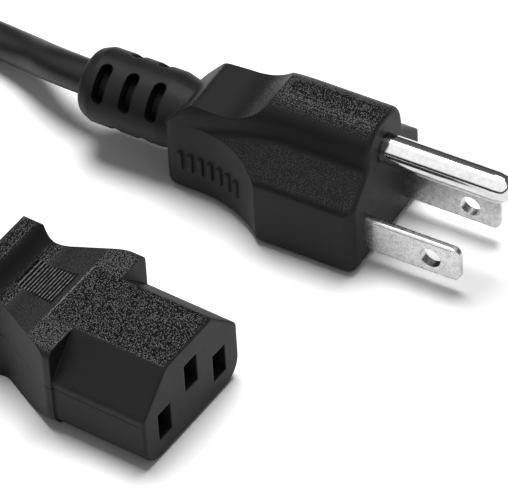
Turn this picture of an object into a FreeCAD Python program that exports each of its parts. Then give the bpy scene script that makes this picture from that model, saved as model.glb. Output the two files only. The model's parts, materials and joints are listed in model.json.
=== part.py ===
import FreeCAD, Part
import math
import os

# A three-pin mains plug moulded onto a round cord, whose other end carries a
# moulded appliance connector. Millimetres, +Z up. Each end is modelled with
# x = 0 at its mating face and +X out of that face, then placed in the frame.
# The frame's origin is on the floor under the middle of the plug.

Vector = FreeCAD.Vector
X_AXIS = Vector(1, 0, 0)
Y_AXIS = Vector(0, 1, 0)
Z_AXIS = Vector(0, 0, 1)
ORIGIN = Vector(0, 0, 0)

# Pins of the plug
BLADE_WIDTH = 6.2
BLADE_THICKNESS = 1.5
BLADE_LENGTH = 16.1
BLADE_SPACING = 12.7
BLADE_HEIGHT = 6.0
BLADE_HOLE = 3.5
BLADE_HOLE_FROM_FACE = 11.1
BLADE_CORNER = 1.5
BLADE_TIP_BEVEL = 0.45
BLADE_EDGE_RADIUS = 0.5
PIN_DIAMETER = 4.8
PIN_LENGTH = 21.6
PIN_ABOVE_BLADES = 11.9
PIN_NOSE_LENGTH = 2.9
PIN_NOSE_RADIUS = 2.9
PIN_TIP_LENGTH = 0.72
PIN_TIP_DIAMETER = 4.08
PIN_TIP_RADIUS = 1.45
PIN_ROOT_DIAMETER = 4.2
PIN_ROOT_PROUD = 0.2

# Head of the plug, seen on its mating face
HEAD_WIDTH = 22.0
HEAD_SIDE_HEIGHT = 12.6
SHOULDER_RADIUS = 1.8
HUMP_WIDTH = 11.4
HUMP_FOOT_RADIUS = 2.2
HUMP_WALL = 3.7
HUMP_RISE = 6.4
HUMP_TOP_WIDTH = 9.8
HUMP_TOP_RADIUS = 4.4
FACE_EDGE_RADIUS = 0.9
FACE_CORNER_RADIUS = 1.6

# Grip behind the head, which narrows and drops towards the cord
HEAD_LENGTH = 17.0
BODY_LENGTH = 36.0
DROP_EASE = 3.0
DROP_STEPS = 5
BACK_SIDE_HEIGHT = 6.7
BACK_FOOT_WIDTH = 12.0
BACK_FOOT_HEIGHT = 12.0
BACK_FOOT_RADIUS = 2.2
BACK_TOP_HEIGHT = 19.4
BACK_TOP_RADIUS = 4.5
SCALLOP_DEPTH = 5.05
SCALLOP_RUN = 5.9
SCALLOP_RADIUS = 20.0
CREST_RADIUS = 0.6
TOP_SCALLOP_DEPTH = 5.5
TOP_SCALLOP_RUN = 3.0
TOP_SCALLOP_RADIUS = 9.6
SADDLE_FALL = 0.2
BACK_SLOPE_START = 30.7
BACK_SLOPE_DROP = 6.0
BACK_EDGE_RADIUS = 2.0
BOTTOM_EDGE_RADIUS = 1.8
RIB_COUNT = 7
RIB_PITCH = 1.8
RIB_WIDTH = 0.85
RIB_HEIGHT = 3.3
RIB_PROUD = 0.45
RIB_EDGE_RADIUS = 0.2
RIB_FIRST_FROM_FACE = 22.0
RIB_BOTTOM = 4.9

# Strain relief, one pattern for both ends
RELIEF_LENGTH = 15.8
RELIEF_DIAMETER = 12.2
RELIEF_END_DIAMETER = 10.4
RELIEF_END_TAPER = 2.2
RELIEF_END_RADIUS = 1.5
RELIEF_ROOT = 4.6
RELIEF_ROOT_DIAMETER = 9.6
RELIEF_NECK = 1.0
RELIEF_AXIS_HEIGHT = 10.4
RELIEF_SLOTS = 3
RELIEF_SLOT_PITCH = 4.75
RELIEF_SLOT_WIDTH = 2.1
RELIEF_SLOT_FLOOR = 7.4
RELIEF_SLOT_LENGTH = 6.4
RELIEF_SLOT_ANGLE = 44.0
RELIEF_CROSS_SLOT_LENGTH = 4.4
RELIEF_CROSS_SLOT_ANGLE = 138.0
RELIEF_FIRST_SLOT = 4.2

# Cord and its three cores
CORD_DIAMETER = 5.8
CORE_DIAMETER = 2.1
STRAND_DIAMETER = 1.1
CORE_CIRCLE = 2.7
LINE_CORE_ANGLE = 210.0
NEUTRAL_CORE_ANGLE = 330.0
EARTH_CORE_ANGLE = 90.0
CRIMP_DIAMETER = 2.1
CRIMP_LENGTH = 4.5
CRIMP_NECK_LENGTH = 2.0
CRIMP_NECK_WIDTH = 1.4

# Holder that keeps the pins in line inside the plug
HOLDER_FROM_FACE = 2.5
HOLDER_THICKNESS = 5.0
HOLDER_WALL = 2.0

# Appliance connector, heights measured from the line of its two power slots
SLOT_LINE_HEIGHT = 6.2
MATING_WIDTH = 24.0
MATING_LENGTH = 16.2
MATING_TOP = 10.2
MATING_BOTTOM = -6.0
MATING_SIDE_TOP = 4.0
MATING_TOP_WIDTH = 11.6
MATING_BOTTOM_RADIUS = 3.8
MATING_SIDE_RADIUS = 1.2
MATING_EDGE_RADIUS = 0.5
SLOT_SPACING = 14.0
EARTH_SLOT_ABOVE = 4.0
SLOT_WIDTH = 3.2
SLOT_HEIGHT = 5.2
COLLAR_WIDTH = 24.6
COLLAR_TOP = 9.9
COLLAR_BOTTOM = -6.2
COLLAR_EDGE_RADIUS = 1.2
COLLAR_SHOULDER_RADIUS = 1.4
TOP_PANEL_LENGTH = 20.9
TOP_PANEL_WIDTH = 12.4
WAIST_WIDTH = 13.4
WAIST_TOP = 9.7
WAIST_FROM_FACE = 29.0
WAIST_RADIUS = 2.6
RIDGE_TOP = 13.4
RIDGE_FROM_FACE = 31.2
RIDGE_LENGTH = 2.8
RIDGE_WIDTH = 14.8
RIDGE_RADIUS = 1.8
RIDGE_FOOT_RADIUS = 4.5
CONNECTOR_LENGTH = 37.0
TAIL_WIDTH = 12.4
TAIL_TOP = 7.6
TAIL_BOTTOM = -4.0
GRIP_LINE_COUNT = 13
GRIP_LINE_PITCH = 0.53
GRIP_LINE_WIDTH = 0.27
GRIP_LINE_DEPTH = 0.25
GRIP_LINE_LENGTH = 7.4
GRIP_LINE_LAST_LENGTH = 5.4
GRIP_LINE_FIRST = 22.1
CONNECTOR_AXIS_ABOVE = 1.9
FRONT_WALL = 1.6
CARRIER_WALL = 2.0
CARRIER_LENGTH = 12.6
CARRIER_BACK_WALL = 1.4
CONTACT_SHEET = 0.5
CONTACT_HEIGHT = 4.0
CONTACT_SETBACK = 1.0
CONNECTOR_PLACE = (-6.2, -47.9)
CONNECTOR_YAW = -4.0

# Put-away length: a coil two turns high, its tie, and the turns' slack in it
COIL_CENTRE = (-138.0, -21.7)
COIL_OUTER_TURN = 44.15
COIL_INNER_TURN = 23.85
COIL_ROWS = 2
COIL_SLACK = 0.4
COIL_EDGE_BEVEL = 1.6
TIE_THICKNESS = 0.8
TIE_SPAN = 14.0
TIE_ANGLE = 180.0

# Cord outside the coil: each lead runs straight out of its moulding, bends at
# one point on the floor plan, and joins the coil's outer turn at an angle. An
# arc takes up a share of the shorter run beside it.
LEAD_STRAIGHT = 30.0
PLUG_LEAD_BEND = (-98.0, 6.2, 5.0)
CONNECTOR_LEAD_BEND = (-102.0, -51.9, 8.6)
PLUG_LEAD_JOINS = 60.0
CONNECTOR_LEAD_JOINS = 300.0
ARC_SHARE = 0.45

# Values that follow from the sizes above
FRAME_SHIFT = (BODY_LENGTH + RELIEF_LENGTH - PIN_LENGTH) / 2
PIN_HEIGHT = BLADE_HEIGHT + PIN_ABOVE_BLADES
HUMP_TOP_HEIGHT = PIN_HEIGHT + PIN_DIAMETER / 2 + HUMP_WALL
HUMP_FOOT_HEIGHT = HUMP_TOP_HEIGHT - HUMP_RISE
GRIP_WIDTH = HEAD_WIDTH - 2 * SCALLOP_DEPTH
HOLDER_BACK = -HOLDER_FROM_FACE - HOLDER_THICKNESS
OVER = 40.0
CORE_ANGLES = {"line": LINE_CORE_ANGLE, "neutral": NEUTRAL_CORE_ANGLE, "earth": EARTH_CORE_ANGLE}


def rounded_outline(corners, place):
    """Closed wire through corners (u, v, radius), each rounded by a tangent arc."""
    count = len(corners)
    stretches = []
    for i in range(count):
        before = corners[i - 1]
        here = corners[i]
        after = corners[(i + 1) % count]
        point = Vector(here[0], here[1], 0)
        back = (Vector(before[0], before[1], 0) - point).normalize()
        ahead = (Vector(after[0], after[1], 0) - point).normalize()
        radius = here[2]
        if radius <= 0:
            stretches.append((point, None, point))
            continue
        half = back.getAngle(ahead) / 2
        reach = radius / math.tan(half)
        middle = point + (back + ahead).normalize() * (radius / math.sin(half) - radius)
        stretches.append((point + back * reach, middle, point + ahead * reach))
    edges = []
    for i, (start, middle, end) in enumerate(stretches):
        if middle is not None:
            arc = Part.Arc(place(start.x, start.y), place(middle.x, middle.y), place(end.x, end.y))
            edges.append(arc.toShape())
        following = stretches[(i + 1) % count][0]
        if (following - end).Length > 1e-6:
            edges.append(Part.LineSegment(place(end.x, end.y), place(following.x, following.y)).toShape())
    return Part.Wire(edges)


def across(x):
    """Place an outline (y, z) on the plane at x."""
    return lambda y, z: Vector(x, y, z)


def plan(z):
    """Place an outline (x, y) on the plane at z."""
    return lambda x, y: Vector(x, y, z)


def profile(y):
    """Place an outline (x, z) on the plane at y."""
    return lambda x, z: Vector(x, y, z)


def prism(corners, place, along):
    """Solid swept straight from a rounded outline."""
    return Part.Face(rounded_outline(corners, place)).extrude(along)


def mirrored(half):
    """Whole outline from its right half, mirrored in the first coordinate."""
    return half + [(-u, v, r) for u, v, r in reversed(half)]


def mirrored_plan(half):
    """Whole outline from its far half, mirrored in the second coordinate."""
    return half + [(u, -v, r) for u, v, r in reversed(half)]


def block(x0, x1, y0, y1, z0, z1):
    """Box between two corners."""
    return Part.makeBox(x1 - x0, y1 - y0, z1 - z0, Vector(x0, y0, z0))


def rod(diameter, start, length):
    """Cylinder along X that starts at a point and runs towards the cord."""
    return Part.makeCylinder(diameter / 2, length, start, Vector(-1, 0, 0))


def edges_on_face(shape, x):
    """Edges of a solid that lie wholly on the plane at x."""
    found = []
    for edge in shape.Edges:
        box = edge.BoundBox
        if abs(box.XMin - x) < 1e-4 and abs(box.XMax - x) < 1e-4:
            found.append(edge)
    return found


def bottom_edges(shape):
    """Edges round a solid's underside on the floor."""
    return [edge for edge in shape.Edges if edge.BoundBox.ZMax < 1e-4]


def cut_all(shape, pieces):
    """Make room in a piece for the pieces that it is moulded round."""
    for piece in pieces:
        shape = shape.cut(piece)
    return shape


def tube(diameter, points):
    """Round tube along straight runs joined by tangent arcs, its length and its radii."""
    edges = []
    radii = []
    last = points[0]
    for before, point, after in zip(points, points[1:], points[2:]):
        back = before - point
        ahead = after - point
        turn = math.pi - back.getAngle(ahead)
        reach = ARC_SHARE * min(back.Length, ahead.Length)
        radius = reach / math.tan(turn / 2)
        back.normalize()
        ahead.normalize()
        middle = point + (back + ahead).normalize() * (radius / math.cos(turn / 2) - radius)
        edges.append(Part.LineSegment(last, point + back * reach).toShape())
        edges.append(Part.Arc(point + back * reach, middle, point + ahead * reach).toShape())
        radii.append(radius)
        last = point + ahead * reach
    edges.append(Part.LineSegment(last, points[-1]).toShape())
    path = Part.Wire(edges)
    section = Part.Wire(Part.makeCircle(diameter / 2, points[0], points[1] - points[0]))
    return path.makePipeShell([section], True, True), path.Length, radii


def relief_slot(middle, length, angle, axis_height):
    """Round-ended window through the relief's wall, at an angle from its top."""
    half = length / 2
    wide = RELIEF_SLOT_WIDTH / 2
    window = [
        (middle - wide, -half, wide),
        (middle + wide, -half, wide),
        (middle + wide, half, wide),
        (middle - wide, half, wide),
    ]
    slot = prism(window, plan(axis_height), Z_AXIS * RELIEF_DIAMETER)
    slot.rotate(Vector(0, 0, axis_height), X_AXIS, angle)
    return slot


def strain_relief(body_back, axis_height):
    """Slotted sleeve of the moulding, round the cord behind the body, its root dipping into the body."""
    centre = Vector(0, 0, axis_height)
    radius = RELIEF_DIAMETER / 2
    tip = body_back - RELIEF_LENGTH
    outline = [
        (body_back + RELIEF_ROOT, 0, 0),
        (body_back + RELIEF_ROOT, RELIEF_ROOT_DIAMETER / 2, 0),
        (body_back - RELIEF_NECK, radius, 0),
        (tip + RELIEF_END_TAPER, radius, RELIEF_END_RADIUS),
        (tip, RELIEF_END_DIAMETER / 2, RELIEF_END_RADIUS),
        (tip, 0, 0),
    ]
    face = Part.Face(rounded_outline(outline, lambda x, r: Vector(x, 0, axis_height + r)))
    sleeve = face.revolve(centre, X_AXIS, 360)
    stem = rod(RELIEF_SLOT_FLOOR, Vector(body_back, 0, axis_height), RELIEF_LENGTH)
    slots = []
    for ring in range(RELIEF_SLOTS):
        middle = tip + RELIEF_FIRST_SLOT + ring * RELIEF_SLOT_PITCH
        for side in (0.0, 180.0):
            slots.append(relief_slot(middle, RELIEF_SLOT_LENGTH, RELIEF_SLOT_ANGLE + side, axis_height))
            if ring > 0:
                between = middle - RELIEF_SLOT_PITCH / 2
                angle = RELIEF_CROSS_SLOT_ANGLE + side
                slots.append(relief_slot(between, RELIEF_CROSS_SLOT_LENGTH, angle, axis_height))
    return cut_all(sleeve, [slot.cut(stem) for slot in slots])


def core(start, jacket_face, angle, axis_height):
    """Insulated core and its copper, from the back of a crimp to the end of the cord's jacket."""
    turn = math.radians(angle)
    off = CORE_CIRCLE / 2
    end = Vector(jacket_face, off * math.cos(turn), axis_height + off * math.sin(turn))

    def run(diameter):
        ends = [Part.Wire(Part.makeCircle(diameter / 2, place, X_AXIS)) for place in (start, end)]
        return Part.makeLoft(ends, True, True)

    copper = run(STRAND_DIAMETER)
    insulation = run(CORE_DIAMETER).cut(copper)
    in_crimp = rod(STRAND_DIAMETER, start + X_AXIS * CRIMP_LENGTH, CRIMP_LENGTH)
    return insulation, copper.fuse(in_crimp)


def crimp(neck_front, back):
    """Barrel round the copper, with the neck that joins it to its blade or contact."""
    front = back + X_AXIS * CRIMP_LENGTH
    barrel = rod(CRIMP_DIAMETER, front, CRIMP_LENGTH).cut(rod(STRAND_DIAMETER, front, CRIMP_LENGTH))
    half = CRIMP_NECK_WIDTH / 2
    neck = block(front.x, neck_front, back.y - half, back.y + half, back.z - half, back.z + half)
    return barrel.fuse(neck)


def crimp_back(y, z):
    """Point where a plug crimp ends and its core starts."""
    return Vector(HOLDER_BACK - CRIMP_NECK_LENGTH - CRIMP_LENGTH, y, z)


def blade(y):
    """Flat blade with its hole, rounded edges and tip corners, bevelled tip and crimp."""
    z = BLADE_HEIGHT
    half = BLADE_WIDTH / 2
    thick = BLADE_THICKNESS / 2
    outline = [
        (HOLDER_BACK, z - half, 0),
        (BLADE_LENGTH, z - half, BLADE_CORNER),
        (BLADE_LENGTH, z + half, BLADE_CORNER),
        (HOLDER_BACK, z + half, 0),
    ]
    sheet = prism(outline, profile(y - thick), Y_AXIS * BLADE_THICKNESS)
    bevel_start = BLADE_LENGTH - BLADE_CORNER
    wedge = [
        (HOLDER_BACK, y - thick, 0),
        (bevel_start, y - thick, 0),
        (BLADE_LENGTH, y - thick + BLADE_TIP_BEVEL, 0),
        (BLADE_LENGTH, y + thick - BLADE_TIP_BEVEL, 0),
        (bevel_start, y + thick, 0),
        (HOLDER_BACK, y + thick, 0),
    ]
    sheet = sheet.common(prism(wedge, plan(z - BLADE_WIDTH), Z_AXIS * 2 * BLADE_WIDTH))
    strip = [
        (y - thick, z - half, BLADE_EDGE_RADIUS),
        (y + thick, z - half, BLADE_EDGE_RADIUS),
        (y + thick, z + half, BLADE_EDGE_RADIUS),
        (y - thick, z + half, BLADE_EDGE_RADIUS),
    ]
    sheet = sheet.common(prism(strip, across(HOLDER_BACK), X_AXIS * (BLADE_LENGTH - HOLDER_BACK)))
    hole_start = Vector(BLADE_HOLE_FROM_FACE, y - BLADE_THICKNESS, z)
    sheet = sheet.cut(Part.makeCylinder(BLADE_HOLE / 2, 2 * BLADE_THICKNESS, hole_start, Y_AXIS))
    return sheet.fuse(crimp(HOLDER_BACK, crimp_back(y, z))).removeSplitter()


def earth_pin():
    """Round pin with a bullet nose, a slimmer root in the moulding, and a crimp."""
    radius = PIN_DIAMETER / 2
    shank_end = PIN_LENGTH - PIN_NOSE_LENGTH
    outline = [
        (HOLDER_BACK, 0, 0),
        (HOLDER_BACK, PIN_ROOT_DIAMETER / 2, 0),
        (PIN_ROOT_PROUD, PIN_ROOT_DIAMETER / 2, 0),
        (PIN_ROOT_PROUD, radius, 0),
        (shank_end, radius, PIN_NOSE_RADIUS),
        (PIN_LENGTH - PIN_TIP_LENGTH, PIN_TIP_DIAMETER / 2, PIN_TIP_RADIUS),
        (PIN_LENGTH, 0, 0),
    ]
    shank = Part.Face(rounded_outline(outline, lambda x, r: Vector(x, 0, PIN_HEIGHT + r)))
    shank = shank.revolve(Vector(0, 0, PIN_HEIGHT), X_AXIS, 360)
    return shank.fuse(crimp(HOLDER_BACK, crimp_back(0, PIN_HEIGHT))).removeSplitter()


def blade_holder(pins):
    """Hard bridge, moulded round the pins before the soft body."""
    wide = BLADE_SPACING / 2 + BLADE_THICKNESS / 2 + HOLDER_WALL
    low = BLADE_HEIGHT - BLADE_WIDTH / 2 - HOLDER_WALL / 2
    step = BLADE_HEIGHT + BLADE_WIDTH / 2 + HOLDER_WALL / 2
    neck = PIN_DIAMETER / 2 + HOLDER_WALL / 2
    top = PIN_HEIGHT + PIN_DIAMETER / 2 + HOLDER_WALL
    half = [
        (wide, low, HOLDER_WALL / 2),
        (wide, step, HOLDER_WALL / 2),
        (neck, step, HOLDER_WALL / 2),
        (neck, top, HOLDER_WALL / 2),
    ]
    bridge = prism(mirrored(half), across(HOLDER_BACK), X_AXIS * HOLDER_THICKNESS)
    return cut_all(bridge, pins)


def head_section():
    """Outline of the plug's head on its mating face."""
    return mirrored(
        [
            (HEAD_WIDTH / 2, 0, 0),
            (HEAD_WIDTH / 2, HEAD_SIDE_HEIGHT, SHOULDER_RADIUS),
            (HUMP_WIDTH / 2, HUMP_FOOT_HEIGHT, HUMP_FOOT_RADIUS),
            (HUMP_TOP_WIDTH / 2, HUMP_TOP_HEIGHT, HUMP_TOP_RADIUS),
        ]
    )


def back_section():
    """Outline that the head's shoulders and hump drop to at the back of the grip."""
    return mirrored(
        [
            (HEAD_WIDTH / 2, 0, 0),
            (HEAD_WIDTH / 2, BACK_SIDE_HEIGHT, SHOULDER_RADIUS),
            (BACK_FOOT_WIDTH / 2, BACK_FOOT_HEIGHT, BACK_FOOT_RADIUS),
            (BACK_FOOT_WIDTH / 2, BACK_TOP_HEIGHT, BACK_TOP_RADIUS),
        ]
    )


def grip_section(x):
    """Outline of the grip at a place along X: the drop from head to back starts with an ease."""
    past = -HEAD_LENGTH - x
    if past < DROP_EASE:
        past = (past + DROP_EASE) ** 2 / (4 * DROP_EASE)
    share = past / (BODY_LENGTH - HEAD_LENGTH)
    corners = zip(head_section(), back_section())
    return [tuple(a + (b - a) * share for a, b in zip(head, back)) for head, back in corners]


def grip_wall(x):
    """Distance of the scalloped side from the plug's middle, at a place along X."""
    reach = SCALLOP_RADIUS * math.tan(math.atan2(SCALLOP_DEPTH, SCALLOP_RUN) / 2)
    arc_end = -HEAD_LENGTH - SCALLOP_RUN - reach
    along = max(0.0, x - arc_end)
    return GRIP_WIDTH / 2 + SCALLOP_RADIUS - math.sqrt(SCALLOP_RADIUS**2 - along**2)


def grip_rib(number, side):
    """One short upright bar on the scalloped side."""
    middle = -RIB_FIRST_FROM_FACE - number * RIB_PITCH
    wall = grip_wall(middle)
    bar = block(
        middle - RIB_WIDTH / 2,
        middle + RIB_WIDTH / 2,
        wall - 2 * RIB_PROUD,
        wall + RIB_PROUD,
        RIB_BOTTOM,
        RIB_BOTTOM + RIB_HEIGHT,
    )
    outer = [edge for edge in bar.Edges if edge.BoundBox.YMin > wall]
    bar = bar.makeFillet(RIB_EDGE_RADIUS, outer)
    return bar if side > 0 else bar.mirror(ORIGIN, Y_AXIS)


def plug_shell():
    """Outside of the plug's moulding: head, scalloped grip, ribs and strain relief."""
    ease_start = DROP_EASE - HEAD_LENGTH
    head = prism(head_section(), across(0), X_AXIS * ease_start)
    head = head.makeFillet(FACE_EDGE_RADIUS, edges_on_face(head, 0))
    places = [ease_start - 2 * DROP_EASE * step / DROP_STEPS for step in range(DROP_STEPS + 1)]
    places.append(-BODY_LENGTH)
    bar = head.fuse(Part.makeLoft([rounded_outline(grip_section(x), across(x)) for x in places], True, True))
    sides = mirrored_plan(
        [
            (0, HEAD_WIDTH / 2, FACE_CORNER_RADIUS),
            (-HEAD_LENGTH, HEAD_WIDTH / 2, 0),
            (-HEAD_LENGTH - SCALLOP_RUN, GRIP_WIDTH / 2, SCALLOP_RADIUS),
            (-BODY_LENGTH, GRIP_WIDTH / 2, BACK_EDGE_RADIUS),
        ]
    )
    saddle = HUMP_TOP_HEIGHT - TOP_SCALLOP_DEPTH
    crown = [
        (OVER, -OVER, 0),
        (OVER, HUMP_TOP_HEIGHT, 0),
        (-HEAD_LENGTH, HUMP_TOP_HEIGHT, CREST_RADIUS),
        (-HEAD_LENGTH - TOP_SCALLOP_RUN, saddle, TOP_SCALLOP_RADIUS),
        (-BACK_SLOPE_START, saddle - SADDLE_FALL, BACK_EDGE_RADIUS),
        (-BODY_LENGTH, saddle - SADDLE_FALL - BACK_SLOPE_DROP, BACK_EDGE_RADIUS),
        (-BODY_LENGTH, -OVER, 0),
    ]
    footprint = prism(sides, plan(0), Z_AXIS * OVER)
    footprint = footprint.makeFillet(BOTTOM_EDGE_RADIUS, bottom_edges(footprint))
    body = bar.common(footprint).common(prism(crown, profile(-OVER), Y_AXIS * 2 * OVER))
    ribs = [grip_rib(number, side) for number in range(RIB_COUNT) for side in (-1, 1)]
    return body.fuse(ribs + [strain_relief(-BODY_LENGTH, RELIEF_AXIS_HEIGHT)])


def shield(inset):
    """Outline of the connector's mating part, drawn in by an inset."""
    half = MATING_WIDTH / 2 - inset
    slope = (MATING_TOP - MATING_SIDE_TOP) / (MATING_WIDTH / 2 - MATING_TOP_WIDTH / 2)
    stretch = math.sqrt(1 + slope * slope)
    return mirrored(
        [
            (half, MATING_BOTTOM + inset, MATING_BOTTOM_RADIUS - inset / 2),
            (half, MATING_SIDE_TOP - inset * (stretch - slope), MATING_SIDE_RADIUS),
            (MATING_TOP_WIDTH / 2 - inset * (stretch - 1) / slope, MATING_TOP - inset, MATING_SIDE_RADIUS),
        ]
    )


def slot_places():
    """Middle (y, z) of each of the connector's slots, by the core it serves."""
    return {
        "line": (-SLOT_SPACING / 2, 0.0),
        "neutral": (SLOT_SPACING / 2, 0.0),
        "earth": (0.0, EARTH_SLOT_ABOVE),
    }


def slot_box(y, z, x0, x1):
    """Box of one slot between two places along X."""
    return block(x0, x1, y - SLOT_WIDTH / 2, y + SLOT_WIDTH / 2, z - SLOT_HEIGHT / 2, z + SLOT_HEIGHT / 2)


def contact_crimp_back(y, z):
    """Point where a connector crimp ends and its core starts."""
    return Vector(-FRONT_WALL - CARRIER_LENGTH - CRIMP_LENGTH, y, z)


def contact(y, z):
    """Sprung channel that grips an inlet's pin, with its crimp."""
    front = -FRONT_WALL - CONTACT_SETBACK
    back = -FRONT_WALL - CARRIER_LENGTH + CARRIER_BACK_WALL
    half = SLOT_WIDTH / 2
    channel = prism(
        [
            (front, y - half, 0),
            (front, y - half + CONTACT_SHEET, 0),
            (back + CONTACT_SHEET, y - half + CONTACT_SHEET, 0),
            (back + CONTACT_SHEET, y + half - CONTACT_SHEET, 0),
            (front, y + half - CONTACT_SHEET, 0),
            (front, y + half, 0),
            (back, y + half, CONTACT_SHEET),
            (back, y - half, CONTACT_SHEET),
        ],
        plan(z - CONTACT_HEIGHT / 2),
        Z_AXIS * CONTACT_HEIGHT,
    )
    return channel.fuse(crimp(back, contact_crimp_back(y, z))).removeSplitter()


def carrier_block():
    """Outside of the hard insert behind the connector's front wall."""
    start = -FRONT_WALL - CARRIER_LENGTH
    return prism(shield(CARRIER_WALL), across(start), X_AXIS * CARRIER_LENGTH)


def contact_carrier(contacts):
    """Hard insert that keeps the three contacts behind their slots."""
    pocket_end = -FRONT_WALL - CARRIER_LENGTH + CARRIER_BACK_WALL
    pockets = [slot_box(y, z, pocket_end, 0) for y, z in slot_places().values()]
    return cut_all(carrier_block(), pockets + contacts)


def connector_crown(sunk):
    """Profile of the connector behind its mating part, its top sunk by a depth."""
    ridge_back = -RIDGE_FROM_FACE - RIDGE_LENGTH
    return [
        (OVER, COLLAR_BOTTOM, 0),
        (OVER, COLLAR_TOP - sunk, 0),
        (-TOP_PANEL_LENGTH, COLLAR_TOP - sunk, WAIST_RADIUS),
        (-WAIST_FROM_FACE, WAIST_TOP - sunk, RIDGE_FOOT_RADIUS),
        (-RIDGE_FROM_FACE, RIDGE_TOP - sunk, RIDGE_RADIUS),
        (ridge_back, RIDGE_TOP - sunk, RIDGE_RADIUS),
        (-CONNECTOR_LENGTH, TAIL_TOP - sunk, RIDGE_RADIUS),
        (-CONNECTOR_LENGTH, TAIL_BOTTOM, RIDGE_RADIUS),
        (ridge_back, COLLAR_BOTTOM, WAIST_RADIUS),
    ]


def grip_lines():
    """Fine grooves across the waist's top, shorter towards the ridge."""
    lines = []
    shortening = (GRIP_LINE_LENGTH - GRIP_LINE_LAST_LENGTH) / (GRIP_LINE_COUNT - 1)
    for number in range(GRIP_LINE_COUNT):
        middle = -GRIP_LINE_FIRST - number * GRIP_LINE_PITCH
        half = (GRIP_LINE_LENGTH - number * shortening) / 2
        lines.append(
            block(middle - GRIP_LINE_WIDTH / 2, middle + GRIP_LINE_WIDTH / 2, -half, half, 0, RIDGE_TOP)
        )
    floor = prism(connector_crown(GRIP_LINE_DEPTH), profile(-OVER), Y_AXIS * 2 * OVER)
    return [line.cut(floor) for line in lines]


def connector_shell():
    """Outside of the connector's moulding: mating part, collar, waist, ridge and relief."""
    mating = prism(shield(0), across(0), X_AXIS * -(MATING_LENGTH + COLLAR_EDGE_RADIUS))
    mating = mating.makeFillet(MATING_EDGE_RADIUS, edges_on_face(mating, 0))
    panel = prism(shield(0), across(-MATING_LENGTH), X_AXIS * (MATING_LENGTH - TOP_PANEL_LENGTH))
    half_panel = TOP_PANEL_WIDTH / 2
    panel = panel.common(block(-OVER, 0, -half_panel, half_panel, 0, OVER))
    collar = COLLAR_WIDTH / 2
    low = mirrored(
        [
            (collar, COLLAR_BOTTOM, MATING_BOTTOM_RADIUS),
            (collar, COLLAR_TOP, COLLAR_SHOULDER_RADIUS),
        ]
    )
    high = mirrored(
        [
            (RIDGE_WIDTH / 2, COLLAR_BOTTOM, COLLAR_EDGE_RADIUS),
            (RIDGE_WIDTH / 2, RIDGE_TOP, COLLAR_SHOULDER_RADIUS),
        ]
    )
    rear = prism(low, across(-MATING_LENGTH), X_AXIS * (MATING_LENGTH - CONNECTOR_LENGTH))
    foot = RIDGE_FOOT_RADIUS - WAIST_FROM_FACE
    rear = rear.fuse(prism(high, across(foot), X_AXIS * (-CONNECTOR_LENGTH - foot)))
    sides = mirrored_plan(
        [
            (OVER, collar, 0),
            (-MATING_LENGTH - COLLAR_EDGE_RADIUS, collar, COLLAR_EDGE_RADIUS),
            (-WAIST_FROM_FACE, WAIST_WIDTH / 2, WAIST_RADIUS),
            (-RIDGE_FROM_FACE, RIDGE_WIDTH / 2, RIDGE_RADIUS),
            (-RIDGE_FROM_FACE - RIDGE_LENGTH, RIDGE_WIDTH / 2, RIDGE_RADIUS),
            (-CONNECTOR_LENGTH, TAIL_WIDTH / 2, RIDGE_RADIUS),
        ]
    )
    rear = rear.common(prism(sides, plan(-OVER), Z_AXIS * 2 * OVER))
    rear = rear.common(prism(connector_crown(0), profile(-OVER), Y_AXIS * 2 * OVER))
    rear = cut_all(rear, grip_lines())
    relief = strain_relief(-CONNECTOR_LENGTH, CONNECTOR_AXIS_ABOVE)
    return rear.fuse([mating, panel, relief]).removeSplitter()


def place_connector(shape):
    """Move a connector piece from its own frame to where it lies."""
    placed = shape.copy()
    placed.rotate(ORIGIN, Z_AXIS, CONNECTOR_YAW)
    placed.translate(Vector(CONNECTOR_PLACE[0], CONNECTOR_PLACE[1], SLOT_LINE_HEIGHT))
    return placed


def connector_point(x, y, z):
    """Point of the connector's own frame, where it lies."""
    turn = FreeCAD.Rotation(Z_AXIS, CONNECTOR_YAW)
    return turn.multVec(Vector(x, y, z)) + Vector(CONNECTOR_PLACE[0], CONNECTOR_PLACE[1], SLOT_LINE_HEIGHT)


def coil_outline(grow):
    """Section of the coil as (radius, height), grown by a thickness on every side."""
    inner = COIL_INNER_TURN - CORD_DIAMETER / 2 - COIL_SLACK - grow
    outer = COIL_OUTER_TURN + CORD_DIAMETER / 2 + COIL_SLACK + grow
    bottom = TIE_THICKNESS - grow
    top = TIE_THICKNESS + COIL_ROWS * CORD_DIAMETER + grow
    edge = COIL_EDGE_BEVEL
    return [
        (inner + edge, bottom, 0),
        (outer - edge, bottom, 0),
        (outer, bottom + edge, 0),
        (outer, top - edge, 0),
        (outer - edge, top, 0),
        (inner + edge, top, 0),
        (inner, top - edge, 0),
        (inner, bottom + edge, 0),
    ]


def coil_section(grow):
    """Wire of the coil's section, where it stands from the coil's middle along +X."""
    return rounded_outline(coil_outline(grow), lambda r, z: Vector(COIL_CENTRE[0] + r, COIL_CENTRE[1], z))


def coil_point(angle, row):
    """Middle of the cord on the coil's outer turn, at an angle and in a row from the floor up."""
    turn = math.radians(angle)
    x = COIL_CENTRE[0] + COIL_OUTER_TURN * math.cos(turn)
    y = COIL_CENTRE[1] + COIL_OUTER_TURN * math.sin(turn)
    return Vector(x, y, TIE_THICKNESS + CORD_DIAMETER * (row + 0.5))


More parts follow.
